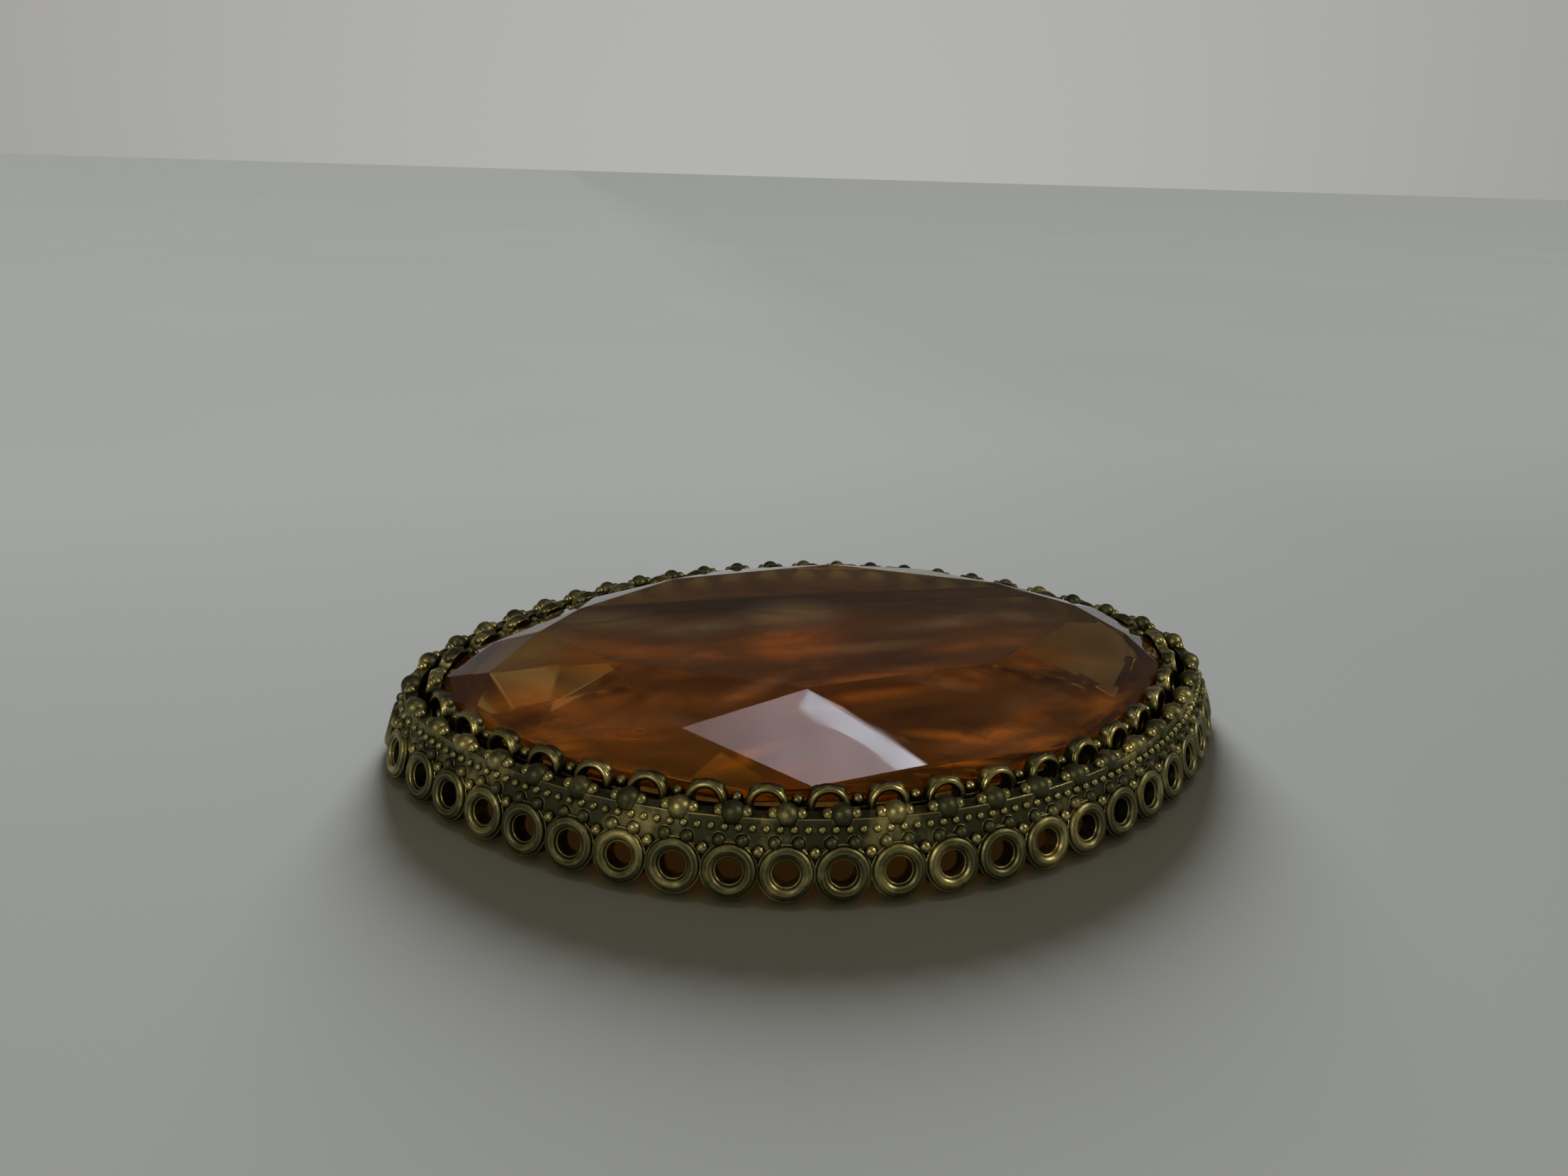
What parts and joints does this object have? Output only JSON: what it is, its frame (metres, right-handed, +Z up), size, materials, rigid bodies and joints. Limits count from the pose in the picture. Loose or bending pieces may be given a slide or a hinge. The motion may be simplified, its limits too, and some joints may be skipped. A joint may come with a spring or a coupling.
{
  "type": "glass brooch",
  "caption": "Oval brooch: a large faceted amber glass stone held by a low openwork brass setting of loops, beads and rings, with a plain pin behind.",
  "frame": {"origin": "centre of the oval, on the surface the brooch lies on, at the foot of its ring row", "axes": "+X along the long axis, +Y across it, +Z up through the middle of the stone's table"},
  "size_m": [0.0464, 0.0334, 0.0063],
  "materials": {
    "amber_glass": "polished facets, slightly worn",
    "aged_brass": "cast, antiqued dark in the hollows, rubbed bright on the high spots",
    "pin_brass": "drawn wire, dull"
  },
  "bodies": {
    "root": {"glass_stone": "amber_glass", "setting": "aged_brass", "brooch_pin": "pin_brass"}
  },
  "joints": []
}
